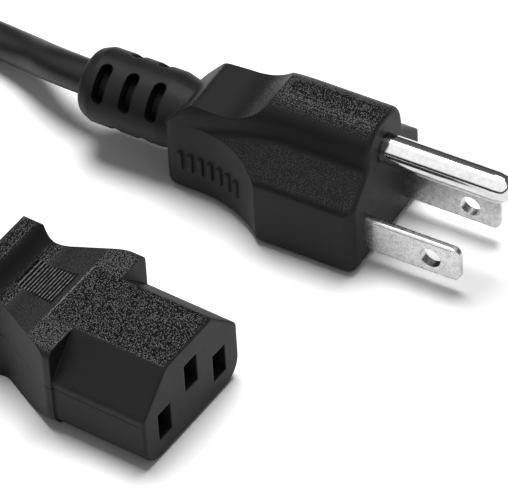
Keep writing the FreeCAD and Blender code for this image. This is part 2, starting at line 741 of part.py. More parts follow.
def cord_nodes():
    """Coil, tie and the two leads that join the mouldings to the coil."""
    axis = Vector(COIL_CENTRE[0], COIL_CENTRE[1], 0)
    coil = Part.Face(coil_section(0)).revolve(axis, Z_AXIS, 360)
    band = Part.Face(coil_section(TIE_THICKNESS))
    band.rotate(axis, Z_AXIS, TIE_ANGLE - TIE_SPAN / 2)
    tie = band.revolve(axis, Z_AXIS, TIE_SPAN).cut(coil)
    nodes = {"cord_coil": coil, "coil_tie": tie}
    routes = {
        "plug_lead": [
            Vector(-BODY_LENGTH, 0, RELIEF_AXIS_HEIGHT),
            Vector(-BODY_LENGTH - LEAD_STRAIGHT, 0, RELIEF_AXIS_HEIGHT),
            Vector(*PLUG_LEAD_BEND),
            coil_point(PLUG_LEAD_JOINS, 0),
        ],
        "connector_lead": [
            connector_point(-CONNECTOR_LENGTH, 0, CONNECTOR_AXIS_ABOVE),
            connector_point(-CONNECTOR_LENGTH - LEAD_STRAIGHT, 0, CONNECTOR_AXIS_ABOVE),
            Vector(*CONNECTOR_LEAD_BEND),
            coil_point(CONNECTOR_LEAD_JOINS, COIL_ROWS - 1),
        ],
    }
    for name, points in routes.items():
        lead, length, radii = tube(CORD_DIAMETER, points)
        runs = [round((b - a).Length, 1) for a, b in zip(points, points[1:])]
        share = lead.Volume / (math.pi * CORD_DIAMETER**2 / 4 * length)
        print(name, "runs", runs, "radii", [round(r, 1) for r in radii], "volume share", round(share, 4))
        nodes[name] = lead.cut(coil)
    return nodes


def plug_nodes():
    """Pieces of the plug, inner ones first."""
    places = {
        "line": (-BLADE_SPACING / 2, BLADE_HEIGHT),
        "neutral": (BLADE_SPACING / 2, BLADE_HEIGHT),
        "earth": (0.0, PIN_HEIGHT),
    }
    nodes = {
        "line_blade": blade(places["line"][0]),
        "neutral_blade": blade(places["neutral"][0]),
        "earth_pin": earth_pin(),
    }
    nodes["blade_holder"] = blade_holder(list(nodes.values()))
    for name, (y, z) in places.items():
        wire, strands = core(crimp_back(y, z), -BODY_LENGTH, CORE_ANGLES[name], RELIEF_AXIS_HEIGHT)
        nodes[f"plug_{name}_wire"] = wire
        nodes[f"plug_{name}_strands"] = strands
    bore = rod(CORD_DIAMETER, Vector(-BODY_LENGTH, 0, RELIEF_AXIS_HEIGHT), RELIEF_LENGTH)
    nodes["plug_body"] = cut_all(plug_shell(), list(nodes.values()) + [bore])
    return nodes


def connector_nodes():
    """Pieces of the appliance connector, where they lie."""
    nodes = {}
    for name, (y, z) in slot_places().items():
        nodes[f"{name}_contact"] = contact(y, z)
    contacts = list(nodes.values())
    for name, (y, z) in slot_places().items():
        start = contact_crimp_back(y, z)
        wire, strands = core(start, -CONNECTOR_LENGTH, CORE_ANGLES[name], CONNECTOR_AXIS_ABOVE)
        nodes[f"connector_{name}_wire"] = wire
        nodes[f"connector_{name}_strands"] = strands
    slots = [slot_box(y, z, -FRONT_WALL, 1) for y, z in slot_places().values()]
    bore = rod(CORD_DIAMETER, Vector(-CONNECTOR_LENGTH, 0, CONNECTOR_AXIS_ABOVE), RELIEF_LENGTH)
    room = list(nodes.values()) + slots + [carrier_block(), bore]
    nodes["contact_carrier"] = contact_carrier(contacts)
    nodes["connector_body"] = cut_all(connector_shell(), room)
    return {name: place_connector(shape) for name, shape in nodes.items()}


def main():
    """Write one STEP file for each piece."""
    os.makedirs("parts", exist_ok=True)
    nodes = {**plug_nodes(), **connector_nodes(), **cord_nodes()}
    for name, shape in nodes.items():
        shape.translate(Vector(FRAME_SHIFT, 0, 0))
        if not shape.isValid() or len(shape.Solids) != 1:
            print(name, "valid", shape.isValid(), "solids", len(shape.Solids))
        shape.exportStep(f"parts/{name}.step")


main()
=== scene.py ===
"""Looks of a moulded mains plug, its cord and its appliance connector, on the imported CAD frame."""

import json
import logging
import math
from dataclasses import dataclass
from enum import Enum

import bpy
from mathutils import Matrix, Vector

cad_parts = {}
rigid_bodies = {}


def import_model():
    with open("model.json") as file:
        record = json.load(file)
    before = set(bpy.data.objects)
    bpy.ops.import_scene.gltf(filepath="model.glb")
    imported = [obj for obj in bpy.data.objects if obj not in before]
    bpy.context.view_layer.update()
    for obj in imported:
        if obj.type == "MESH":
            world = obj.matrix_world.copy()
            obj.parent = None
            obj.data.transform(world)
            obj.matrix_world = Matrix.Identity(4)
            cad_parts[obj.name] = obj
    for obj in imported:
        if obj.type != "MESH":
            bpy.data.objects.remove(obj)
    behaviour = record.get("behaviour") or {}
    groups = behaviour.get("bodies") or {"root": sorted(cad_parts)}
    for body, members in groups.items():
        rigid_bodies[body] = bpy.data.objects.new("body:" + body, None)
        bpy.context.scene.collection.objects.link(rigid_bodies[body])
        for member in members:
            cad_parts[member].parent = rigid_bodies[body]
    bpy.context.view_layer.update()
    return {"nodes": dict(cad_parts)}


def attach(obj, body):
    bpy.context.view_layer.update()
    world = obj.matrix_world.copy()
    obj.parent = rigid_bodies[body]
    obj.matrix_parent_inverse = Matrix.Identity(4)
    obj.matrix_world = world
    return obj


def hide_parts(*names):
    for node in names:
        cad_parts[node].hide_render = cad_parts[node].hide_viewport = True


log = logging.getLogger("scene")

MM = 0.001
WHITE = (1.0, 1.0, 1.0, 1.0)
BLACK = (0.0, 0.0, 0.0, 1.0)
BEVEL_SAMPLES = 6

# A Mix node's inputs go by number, because its A and B are there once for each kind of data.
SHARE = 0
NUMBER_A = 2
NUMBER_B = 3
COLOUR_A = 6
COLOUR_B = 7
COLOURS = {"out": 2, "data_type": "RGBA"}

Colour = tuple[float, float, float, float]
Point = tuple[float, float, float]
Span = tuple[float, float]
Inputs = dict[str | int, object]
Socket = bpy.types.NodeSocket
Nodes = dict[str, bpy.types.Object]


def linear(hex_colour: str) -> Colour:
    """Turn an sRGB colour into the linear values that shaders take.

    Args:
        hex_colour: Six hex digits after a hash sign.

    Returns:
        Linear red, green, blue and an alpha of 1.
    """
    parts = [int(hex_colour[i : i + 2], 16) / 255 for i in (1, 3, 5)]
    # The sRGB curve starts as a short straight line and goes on as a power.
    red, green, blue = (c / 12.92 if c <= 0.04045 else ((c + 0.055) / 1.055) ** 2.4 for c in parts)
    return red, green, blue, 1.0


def per_metre(size: float) -> float:
    """Give a pattern's scale from the size of one blotch in millimetres."""
    return 1 / (size * MM)


class Core(Enum):
    """The three cores of the cord."""

    LINE = "line"
    NEUTRAL = "neutral"
    EARTH = "earth"


class End(Enum):
    """The two mouldings that the cores run into."""

    PLUG = "plug"
    CONNECTOR = "connector"


class Shade:
    """The node tree of a material or of the world, with the one way to add a node."""

    def __init__(self, owner: bpy.types.Material | bpy.types.World) -> None:
        """Open the tree of a material or world.

        Args:
            owner: The material or world.
        """
        owner.use_nodes = True
        self.owner = owner
        self.tree = owner.node_tree

    def add(self, kind: str, inputs: Inputs | None = None, out: str | int = 0, **settings: object) -> Socket:
        """Add a node, set its options and fill its inputs.

        Args:
            kind: Type name of the node.
            inputs: Values or sockets by input name or number.
            out: Name or number of the output to give back.
            **settings: Options of the node.

        Returns:
            The chosen output of the new node.
        """
        node = self.tree.nodes.new(kind)
        for key, value in settings.items():
            setattr(node, key, value)
        self.fill(node, inputs or {})
        return node.outputs[out]

    def fill(self, node: bpy.types.Node, inputs: Inputs) -> None:
        """Set or link a node's inputs.

        Args:
            node: The node.
            inputs: Values or sockets by input name or number.
        """
        for key, value in inputs.items():
            if isinstance(value, Socket):
                self.tree.links.new(value, node.inputs[key])
            else:
                node.inputs[key].default_value = value


class Surface(Shade):
    """A new material whose patterns follow the part's own coordinates."""

    def __init__(self, name: str) -> None:
        """Start a material with a Principled shader.

        Args:
            name: Name of the real material.
        """
        super().__init__(bpy.data.materials.new(name))
        self.shader = self.tree.nodes["Principled BSDF"]
        self.place = self.add("ShaderNodeTexCoord", out="Object")

    def upward(self) -> Socket:
        """Give how far a face looks up: 1 when level, 0 when upright."""
        facing = self.add("ShaderNodeNewGeometry", out="True Normal")
        return self.add("ShaderNodeSeparateXYZ", {0: facing}, out="Z")


@dataclass(frozen=True)
class MouldedPvc:
    """Soft PVC from a steel mould with spark-eroded and polished faces; sizes in millimetres.

    Attributes:
        dark: Colour in the moulding's darker drifts.
        light: Colour in its lighter drifts.
        valley_shade_colour: Colour of the painted shade in the grain's valleys and in grooves.
        dome_highlight_colour: Colour of the painted highlight on the grain's domes and on shining edges.
        edge: Colour of the edges, greyer partly from wear by handling and partly from a painted highlight.
        drift_size: Size of one drift of colour.
        wear_and_highlight_reach: Likeness of the softened normal to the true one where edge wear and painted
            highlight start and are full.
        wear_and_highlight_share: How much of the edge's colour shows where edge wear and painted highlight
            are full.
        grain_size: Width of one of the grain's domes.
        grain_spread: How unevenly the domes lie, from 0 to 1.
        grain_depth: Height of the domes.
        dome_reach: Distances from the domes' middles, in their widths, over which their painted highlight
            grows from nothing to full.
        valley_reach: Distances from the domes' middles, in their widths, over which painted shade deepens in
            the valleys.
        glint_gaps: Share of the cells in which the painted highlight on a shining edge is weaker.
        flow_size: Length of the slow waves that shrinking leaves.
        flow_depth: Height of those waves.
        roughness: Roughness of the polished faces.
        unevenness: How far that roughness wanders up and down.
        grain_roughness: Roughness of the grained faces.
        edge_radius: Radius over which an edge is softened.
        gloss: Specular level of the soft, matt plastic.
    """

    dark: str = "#141415"
    light: str = "#1a1a1b"
    valley_shade_colour: str = "#060606"
    dome_highlight_colour: str = "#9a9a9c"
    edge: str = "#333334"
    drift_size: float = 5.0
    wear_and_highlight_reach: Span = (0.99, 0.86)
    wear_and_highlight_share: float = 0.5
    grain_size: float = 0.2
    grain_spread: float = 0.7
    grain_depth: float = 0.05
    dome_reach: Span = (0.4, 0.1)
    valley_reach: Span = (0.36, 0.7)
    glint_gaps: float = 0.6
    flow_size: float = 1.6
    flow_depth: float = 0.008
    roughness: float = 0.5
    unevenness: float = 0.05
    grain_roughness: float = 0.4
    edge_radius: float = 0.35
    gloss: float = 0.165

    def plain(self, shade: Surface, soft: Socket) -> Socket:
        """Give the colour of the plain plastic, with its edges greyer from wear and from a painted highlight.

        Args:
            shade: The material.
            soft: The normal, softened at the edges.

        Returns:
            The colour.
        """
        add = shade.add
        # Matt black, a little uneven in its blackness.
        blotches = {"Vector": shade.place, "Scale": per_metre(self.drift_size), "Detail": 3.0}
        drift = add("ShaderNodeTexNoise", blotches)
        blacks = {COLOUR_A: linear(self.dark), COLOUR_B: linear(self.light)}
        colour = add("ShaderNodeMix", {SHARE: drift, **blacks}, **COLOURS)
        # Edges are a shade greyer, partly from wear by handling and partly as a painted highlight: the
        # softened normal leaves the true one there.
        normal = add("ShaderNodeNewGeometry", out="Normal")
        likeness = add("ShaderNodeVectorMath", {0: soft, 1: normal}, "Value", operation="DOT_PRODUCT")
        start, full = self.wear_and_highlight_reach
        limits = {"From Min": start, "From Max": full, "To Max": self.wear_and_highlight_share}
        wear_and_highlight = add("ShaderNodeMapRange", {"Value": likeness, **limits})
        return add("ShaderNodeMix", {SHARE: wear_and_highlight, COLOUR_A: colour, COLOUR_B: linear(self.edge)}, **COLOURS)

    def lay(
        self,
        shade: Surface,
        grain: Socket,
        glint: Socket | float = 0.0,
        groove: Socket | float = 0.0,
    ) -> None:
        """Lay the finish on a material, with painted highlights and painted shade in its grain and fine
        lines.

        Args:
            shade: The material.
            grain: 1 on fully grained faces, 0 on polished ones.
            glint: 1 on fine edges where a highlight is painted.
            groove: 1 in fine grooves and lines where shade is painted.
        """
        add = shade.add
        soft = add("ShaderNodeBevel", {"Radius": self.edge_radius * MM}, samples=BEVEL_SAMPLES)
        # Craters in the spark-eroded mould leave domes on the plastic, about 0.05 mm wide. A highlight is
        # painted on the middles of the domes and shade in the valleys between them. They are drawn four
        # times as coarse: finer ones would blur to an even grey.
        pattern = {"Scale": per_metre(self.grain_size), "Randomness": self.grain_spread}
        cells = add("ShaderNodeTexVoronoi", {"Vector": shade.place, **pattern}).node.outputs
        distance = cells["Distance"]
        # Painted shade: the valleys between the domes and the grooves are coloured near black.
        bank, bottom = self.valley_reach
        valleys = add("ShaderNodeMapRange", {"Value": distance, "From Min": bank, "From Max": bottom})
        valleys = add("ShaderNodeMath", {0: valleys, 1: grain}, operation="MULTIPLY")
        dark = add("ShaderNodeMath", {0: valleys, 1: groove}, operation="MAXIMUM")
        # Painted highlight: the middles of the domes are coloured light where the grain is full.
        foot, top = self.dome_reach
        domes = add("ShaderNodeMapRange", {"Value": distance, "From Min": foot, "From Max": top})
        domes = add("ShaderNodeMath", {0: domes, 1: grain}, operation="MULTIPLY")
        # Painted highlights on shining edges are broken up: each cell gives its own share of the shine.
        chance = add("ShaderNodeSeparateColor", {0: cells["Color"]})
        broken = add("ShaderNodeMapRange", {"Value": chance, "From Max": self.glint_gaps})
        glints = add("ShaderNodeMath", {0: broken, 1: glint}, operation="MULTIPLY")
        bright = add("ShaderNodeMath", {0: domes, 1: glints}, operation="MAXIMUM")
        # Painted shade in the valleys and grooves first, then painted highlights on the domes and shining
        # edges.
        deep = {COLOUR_A: self.plain(shade, soft), COLOUR_B: linear(self.valley_shade_colour)}
        colour = add("ShaderNodeMix", {SHARE: dark, **deep}, **COLOURS)
        shining = {COLOUR_A: colour, COLOUR_B: linear(self.dome_highlight_colour)}
        colour = add("ShaderNodeMix", {SHARE: bright, **shining}, **COLOURS)
        flow = add("ShaderNodeTexNoise", {"Vector": shade.place, "Scale": per_metre(self.flow_size)})
        waves = {"Height": flow, "Distance": self.flow_depth * MM, "Normal": soft}
        bumped = add("ShaderNodeBump", waves)
        # Domes fall away from their middles, so their bump is inverted.
        fall = add("ShaderNodeMath", {0: distance, 1: grain}, operation="MULTIPLY")
        raised = {"Height": fall, "Distance": self.grain_depth * MM, "Normal": bumped}
        bumped = add("ShaderNodeBump", raised, invert=True)
        limits = {"To Min": self.roughness - self.unevenness, "To Max": self.roughness + self.unevenness}
        uneven = add("ShaderNodeMapRange", {"Value": flow, **limits})
        rough = add("ShaderNodeMix", {SHARE: grain, NUMBER_A: uneven, NUMBER_B: self.grain_roughness})
        # Painted shade: the specular is tinted black in the grain's valleys and in grooves, so they send back
        # no light.
        tint = add("ShaderNodeMix", {SHARE: dark, COLOUR_A: WHITE, COLOUR_B: BLACK}, **COLOURS)
        shade.fill(
            shade.shader,
            {
                "Base Color": colour,
                "Roughness": rough,
                "Specular IOR Level": self.gloss,
                "Specular Tint": tint,
                "Normal": bumped,
            },
        )


@dataclass(frozen=True)
class Metal:
    """A drawn or stamped metal piece, bare or plated; sizes in millimetres.

    Attributes:
        name: Name of the metal.
        colour: Colour of the clean metal.
        stain: Colour where it has dulled.
        speck: Colour of the small pits.
        roughness: Roughness of the clean metal.
        worn_roughness: Roughness in the dulled patches.
        speck_share: How dark the pits are, from 0 to 1.
        dull_size: Size of a dulled patch.
        dulling: Levels of the patches' noise where dulling starts and is full.
        speck_size: Size of a pit.
        pitting: Levels of the pits' noise where a pit starts and is full.
        line_size: Width of the drawing lines along the piece.
        line_stretch: Width of those lines as a share of their length.
        line_depth: Depth of those lines.
        edge_radius: Radius over which an edge is softened.
    """

    name: str
    colour: str
    stain: str
    speck: str
    roughness: float
    worn_roughness: float
    speck_share: float = 0.3
    dull_size: float = 0.9
    dulling: Span = (0.4, 0.75)
    speck_size: float = 0.22
    pitting: Span = (0.44, 0.3)
    line_size: float = 0.08
    line_stretch: float = 0.03
    line_depth: float = 0.002
    edge_radius: float = 0.12

    def material(self) -> bpy.types.Material:
        """Make the material.

        Returns:
            The material.
        """
        shade = Surface(self.name)
        add = shade.add
        place = shade.place
        # Mirror-like with a soft haze: dulled clouds, small dark pits and faint lines along the piece.
        haze = {"Scale": per_metre(self.dull_size), "Detail": 4.0}
        clouds = add("ShaderNodeTexNoise", {"Vector": place, **haze})
        start, full = self.dulling
        dulled = add("ShaderNodeMapRange", {"Value": clouds, "From Min": start, "From Max": full})
        tones = {COLOUR_A: linear(self.colour), COLOUR_B: linear(self.stain)}
        colour = add("ShaderNodeMix", {SHARE: dulled, **tones}, **COLOURS)
        # The real pits are far finer than this. They are drawn as coarse as they need to show.
        specks = {"Scale": per_metre(self.speck_size), "Detail": 2.0}
        grit = add("ShaderNodeTexNoise", {"Vector": place, **specks})
        start, full = self.pitting
        limits = {"From Min": start, "From Max": full, "To Max": self.speck_share}
        pits = add("ShaderNodeMapRange", {"Value": grit, **limits})
        pitted = {COLOUR_A: colour, COLOUR_B: linear(self.speck)}
        colour = add("ShaderNodeMix", {SHARE: pits, **pitted}, **COLOURS)
        rough = add("ShaderNodeMix", {SHARE: dulled, NUMBER_A: self.roughness, NUMBER_B: self.worn_roughness})
        drawn = add("ShaderNodeMapping", {"Vector": place, "Scale": Vector((self.line_stretch, 1.0, 1.0))})
        lines = add("ShaderNodeTexNoise", {"Vector": drawn, "Scale": per_metre(self.line_size)})
        soft = add("ShaderNodeBevel", {"Radius": self.edge_radius * MM}, samples=BEVEL_SAMPLES)
        bumped = add("ShaderNodeBump", {"Height": lines, "Distance": self.line_depth * MM, "Normal": soft})
        shade.fill(
            shade.shader,
            {"Base Color": colour, "Metallic": 1.0, "Roughness": rough, "Normal": bumped},
        )
        return shade.owner


@dataclass(frozen=True)
class Skin:
    """An extruded, woven or plainly moulded plastic skin; sizes in millimetres.

    Attributes:
        name: Name of the plastic.
        dark: Colour in the skin's darker drifts.
        light: Colour in its lighter drifts.
        roughness: Roughness of the skin.
        unevenness: How far that roughness wanders up and down.
        ripple_size: Length of the ripples that its making leaves.
        ripple_depth: Height of those ripples.
        gloss: Specular level of the skin.
        drift_size: Size of one drift of colour.
    """

    name: str
    dark: str
    light: str
    roughness: float = 0.42
    unevenness: float = 0.06
    ripple_size: float = 0.5
    ripple_depth: float = 0.01
    gloss: float = 0.25
    drift_size: float = 4.0

    def material(self) -> bpy.types.Material:
        """Make the material.

        Returns:
            The material.
        """
        shade = Surface(self.name)
        add = shade.add
        place = shade.place
        # A satin skin with soft highlights that waver over the ripples.
        blotches = {"Scale": per_metre(self.drift_size), "Detail": 3.0}
        drift = add("ShaderNodeTexNoise", {"Vector": place, **blotches})
        shades = {COLOUR_A: linear(self.dark), COLOUR_B: linear(self.light)}
        colour = add("ShaderNodeMix", {SHARE: drift, **shades}, **COLOURS)
        ripple = add("ShaderNodeTexNoise", {"Vector": place, "Scale": per_metre(self.ripple_size)})
        limits = {"To Min": self.roughness - self.unevenness, "To Max": self.roughness + self.unevenness}
        rough = add("ShaderNodeMapRange", {"Value": ripple, **limits})
        bumped = add("ShaderNodeBump", {"Height": ripple, "Distance": self.ripple_depth * MM})
        shade.fill(
            shade.shader,
            {"Base Color": colour, "Roughness": rough, "Specular IOR Level": self.gloss, "Normal": bumped},
        )
        return shade.owner


def dress(node: bpy.types.Object, material: bpy.types.Material) -> None:
    """Give a CAD node a material.

    Args:
        node: The node's object.
        material: Its material.
    """
    for slot in node.material_slots:
        slot.link = "OBJECT"
        slot.material = material
    log.info("%s is dressed in %s", node.name, material.name)


class Wiring:
    """The cores that run through both mouldings."""

    def __init__(self) -> None:
        """Make the cores' materials."""
        # Bare drawn copper: warm and bright, browner where air has dulled it.
        self.copper = Metal(
            "bare_copper",
            colour="#c9805b",
            stain="#8f5338",
            speck="#5a3322",
            roughness=0.3,
            worn_roughness=0.45,
        ).material()
        # Extruded PVC, coloured through: a plain satin colour for each core.
        self.skins = {
            Core.LINE: Skin("black_pvc_insulation", "#161617", "#202021").material(),
            Core.NEUTRAL: Skin("white_pvc_insulation", "#d9d7d0", "#e6e4de").material(),
            Core.EARTH: Skin("green_pvc_insulation", "#1d6b34", "#24803f").material(),
        }

    def build(self, nodes: Nodes, end: End) -> None:
        """Dress the cores at one end of the cord.

        Args:
            nodes: CAD objects by node name.
            end: The moulding that the cores run into.
        """
        for core, skin in self.skins.items():
            dress(nodes[f"{end.value}_{core.value}_wire"], skin)
            dress(nodes[f"{end.value}_{core.value}_strands"], self.copper)


@dataclass(frozen=True)
class Plug:
    """The plug: its moulding, blades and pin; places in millimetres.

    Attributes:
        grain_slope: Upward look of a face where its grain starts and is full.
        saddle_slope: Upward look of a face where the saddle's polish starts and is full.
        head_back: Place along X of the crest behind the head.
        crest: Length over which the grain fades there.
        neck: Stretch along X over which the grain fades out towards the strain relief.
        pvc: Finish of the moulding.
    """

    grain_slope: Span = (0.62, 1.0)
    saddle_slope: Span = (0.86, 0.94)
    head_back: float = -1.9
    crest: float = 0.6
    neck: Span = (-17.5, -20.5)
    pvc: MouldedPvc = MouldedPvc()

    def moulding(self) -> bpy.types.Material:
        """Make the moulding's material: grained on top, with the grain's painted highlights and shade, and
        polished on its sides and in its saddle.

        Returns:
            The material.
        """
        shade = Surface("black_moulded_pvc_plug")
        add = shade.add
        upward = shade.upward()
        start, full = self.grain_slope
        grain = add("ShaderNodeMapRange", {"Value": upward, "From Min": start, "From Max": full})
        along = add("ShaderNodeSeparateXYZ", {0: shade.place}, "X")
        crest = {"From Min": self.head_back * MM, "From Max": (self.head_back - self.crest) * MM}
        behind = add("ShaderNodeMapRange", {"Value": along, **crest})
        start, full = self.saddle_slope
        level = add("ShaderNodeMapRange", {"Value": upward, "From Min": start, "From Max": full})
        saddle = add("ShaderNodeMath", {0: behind, 1: level}, operation="MULTIPLY")
        off_saddle = add("ShaderNodeMath", {0: 1.0, 1: saddle}, operation="SUBTRACT")
        grain = add("ShaderNodeMath", {0: grain, 1: off_saddle}, operation="MULTIPLY")
        front, back = (place * MM for place in self.neck)
        on_body = add("ShaderNodeMapRange", {"Value": along, "From Min": back, "From Max": front})
        grain = add("ShaderNodeMath", {0: grain, 1: on_body}, operation="MULTIPLY")
        self.pvc.lay(shade, grain)
        return shade.owner

    def build(self, nodes: Nodes, wiring: Wiring) -> None:
        """Dress the plug.

        Args:
            nodes: CAD objects by node name.
            wiring: The cord's cores.
        """
        dress(nodes["plug_body"], self.moulding())
        # Nickel plate on stamped brass: light grey and hazy, with fine dark specks.
        nickel = Metal(
            "nickel_plated_brass",
            colour="#c6c6c6",
            stain="#b0b0b0",
            speck="#5c5c5c",
            roughness=0.24,
            worn_roughness=0.34,
            speck_share=0.5,
        ).material()
        dress(nodes["line_blade"], nickel)
        dress(nodes["neutral_blade"], nickel)
        # Nickel plate on turned and polished brass: nearly a mirror.
        polished = Metal(
            "polished_nickel_on_brass",
            colour="#cecece",
            stain="#bebebe",
            speck="#8c8c8c",
            roughness=0.09,
            worn_roughness=0.14,
            speck_share=0.1,
        ).material()
        dress(nodes["earth_pin"], polished)
        # Moulded ABS: a harder, plainer black than the soft body.
        abs_skin = Skin(
            "black_moulded_abs",
            "#101011",
            "#161617",
            roughness=0.5,
            ripple_size=0.8,
            ripple_depth=0.006,
        )
        dress(nodes["blade_holder"], abs_skin.material())
        wiring.build(nodes, End.PLUG)


@dataclass(frozen=True)
class Connector:
    """The appliance connector: its moulding, insert and contacts; places in millimetres from its face.

    Attributes:
        place: Point on the floor under the middle of the mating face.
        yaw: Turn about the upright, in degrees.
        seam_height: Height of the mould's parting line.
        seam_width: Width of that line.
        seam_front: Place where that line ends, short of the mating face.
        panel_back: Place of the step behind the top panel.
        panel_half: Half of the panel's width.
        step_width: Width of the painted highlight on the step's edge.
        step_shine: How strong that painted highlight is, from 0 to 1.
        grain_slope: Upward look of a face where its grain starts and is full.
        grain_floor: Height above which there is grain.
        smooth: Stretch of the waist that has little grain.
        waist_grain: Share of the grain that is left there.
        line_first: Place of the first groove of the grip.
        line_pitch: Distance between grooves.
        line_count: Number of grooves.
        line_half: Half of a groove's length.
        ridge_reach: Distances from a groove's middle, in pitches, over which the painted highlight on a ridge
            grows.
        ridge_shine: How strong the painted highlight on a ridge is, from 0 to 1.
        furrow_reach: Distances from a groove's middle, in pitches, over which painted shade deepens in it.
        pvc: Finish of the moulding.
    """

    place: Span = (8.9, -47.9)
    yaw: float = -4.0
    seam_height: float = 8.8
    seam_width: float = 0.26
    seam_front: float = -0.6
    panel_back: float = -20.9
    panel_half: float = 6.2
    step_width: float = 0.26
    step_shine: float = 0.6
    grain_slope: Span = (0.78, 0.95)
    grain_floor: float = 13.2
    smooth: Span = (-27.4, -21.2)
    waist_grain: float = 0.2
    line_first: float = -22.1
    line_pitch: float = 0.53
    line_count: int = 13
    line_half: float = 3.0
    ridge_reach: Span = (0.25, 0.42)
    ridge_shine: float = 0.6
    furrow_reach: Span = (0.26, 0.12)
    pvc: MouldedPvc = MouldedPvc()

    def moulding(self) -> bpy.types.Material:
        """Make the moulding's material: grained on top, with a grooved grip, a step and a parting line,
        carrying painted highlights and shade.

        Returns:
            The material.
        """
        shade = Surface("black_moulded_pvc_connector")
        add = shade.add
        turn = Vector((0, 0, math.radians(self.yaw)))
        shift = {"Location": Vector((*self.place, 0)) * MM, "Rotation": turn}
        own = add("ShaderNodeMapping", {"Vector": shade.place, **shift}, vector_type="TEXTURE")
        along, across, height = add("ShaderNodeSeparateXYZ", {0: own}).node.outputs
        aside = add("ShaderNodeMath", {0: across}, operation="ABSOLUTE")
        grain = self.grain(shade, along, height)
        ridge_highlights, furrow_shade = self.grip(shade, along, aside)
        step = self.step(shade, along, aside)
        glint = add("ShaderNodeMath", {0: ridge_highlights, 1: step}, operation="MAXIMUM")
        seam = self.seam(shade, along, height)
        groove = add("ShaderNodeMath", {0: seam, 1: furrow_shade}, operation="MAXIMUM")
        self.pvc.lay(shade, grain, glint, groove)
        return shade.owner

    def grain(self, shade: Surface, along: Socket, height: Socket) -> Socket:
        """Give the grain of the upper faces, which is weak on the waist.

        Args:
            shade: The material.
            along: Place along the connector.
            height: Height above the floor.

        Returns:
            1 where the grain is full, 0 where there is none.
        """
        add = shade.add
        back, front = self.smooth
        past_back = add("ShaderNodeMath", {0: along, 1: back * MM}, operation="GREATER_THAN")
        before_front = add("ShaderNodeMath", {0: along, 1: front * MM}, operation="LESS_THAN")
        smooth = add("ShaderNodeMath", {0: past_back, 1: before_front}, operation="MULTIPLY")
        grained = add("ShaderNodeMapRange", {"Value": smooth, "To Min": 1.0, "To Max": self.waist_grain})
        above = add("ShaderNodeMath", {0: height, 1: self.grain_floor * MM}, operation="GREATER_THAN")
        grained = add("ShaderNodeMath", {0: grained, 1: above}, operation="MULTIPLY")
        start, full = self.grain_slope
        level = add("ShaderNodeMapRange", {"Value": shade.upward(), "From Min": start, "From Max": full})
        return add("ShaderNodeMath", {0: level, 1: grained}, operation="MULTIPLY")

    def grip(self, shade: Surface, along: Socket, aside: Socket) -> tuple[Socket, Socket]:
        """Give the painted highlights on the grip's ridge tops and the painted shade in the grooves between
        them.

        Args:
            shade: The material.
            along: Place along the connector.
            aside: Distance from its middle plane.

        Returns:
            1 on a ridge's top, and 1 in a groove's bottom.
        """
        add = shade.add
        in_lines = add("ShaderNodeMath", {0: aside, 1: self.line_half * MM}, operation="LESS_THAN")
        half_field = (self.line_count - 1) * self.line_pitch / 2
        field = {1: (self.line_first - half_field) * MM, 2: half_field * MM}
        in_field = add("ShaderNodeMath", {0: along, **field}, operation="COMPARE")
        gripped = add("ShaderNodeMath", {0: in_field, 1: in_lines}, operation="MULTIPLY")
        from_first = add("ShaderNodeMath", {0: along, 1: self.line_first * MM}, operation="SUBTRACT")
        half_pitch = self.line_pitch / 2 * MM
        from_groove = add("ShaderNodeMath", {0: from_first, 1: half_pitch}, operation="PINGPONG")
        # Painted highlight on each ridge's top, painted shade in each groove's bottom.
        foot, top = (share * self.line_pitch * MM for share in self.ridge_reach)
        crest = {"From Min": foot, "From Max": top, "To Max": self.ridge_shine}
        ridge_highlights = add("ShaderNodeMapRange", {"Value": from_groove, **crest})
        ridge_highlights = add("ShaderNodeMath", {0: ridge_highlights, 1: gripped}, operation="MULTIPLY")
        bank, bottom = (share * self.line_pitch * MM for share in self.furrow_reach)
        furrow_shade = add("ShaderNodeMapRange", {"Value": from_groove, "From Min": bank, "From Max": bottom})
        furrow_shade = add("ShaderNodeMath", {0: furrow_shade, 1: gripped}, operation="MULTIPLY")
        return ridge_highlights, furrow_shade

    def step(self, shade: Surface, along: Socket, aside: Socket) -> Socket:
        """Give the painted highlight on the edge of the step behind the top panel.

        Args:
            shade: The material.
            along: Place along the connector.
            aside: Distance from its middle plane.

        Returns:
            The painted highlight on the edge, 0 elsewhere.
        """
        add = shade.add
        half = self.step_width / 2
        edge = {1: (self.panel_back + half) * MM, 2: half * MM}
        on_edge = add("ShaderNodeMath", {0: along, **edge}, operation="COMPARE")
        in_panel = add("ShaderNodeMath", {0: aside, 1: self.panel_half * MM}, operation="LESS_THAN")
        shine = add("ShaderNodeMath", {0: in_panel, 1: self.step_shine}, operation="MULTIPLY")
        return add("ShaderNodeMath", {0: on_edge, 1: shine}, operation="MULTIPLY")

    def seam(self, shade: Surface, along: Socket, height: Socket) -> Socket:
        """Give the mould's parting line along the sides, where its shade is painted as a dark line.

        Args:
            shade: The material.
            along: Place along the connector.
            height: Height above the floor.

        Returns:
            1 on the line, 0 elsewhere.
        """
        add = shade.add
        # Painted shade: a dark band stands for the shade in the parting line's fine groove.
        band = {1: self.seam_height * MM, 2: self.seam_width / 2 * MM}
        on_line = add("ShaderNodeMath", {0: height, **band}, operation="COMPARE")
        off_face = add("ShaderNodeMath", {0: along, 1: self.seam_front * MM}, operation="LESS_THAN")
        return add("ShaderNodeMath", {0: on_line, 1: off_face}, operation="MULTIPLY")

    def build(self, nodes: Nodes, wiring: Wiring) -> None:
        """Dress the connector.

        Args:
            nodes: CAD objects by node name.
            wiring: The cord's cores.
        """
        dress(nodes["connector_body"], self.moulding())
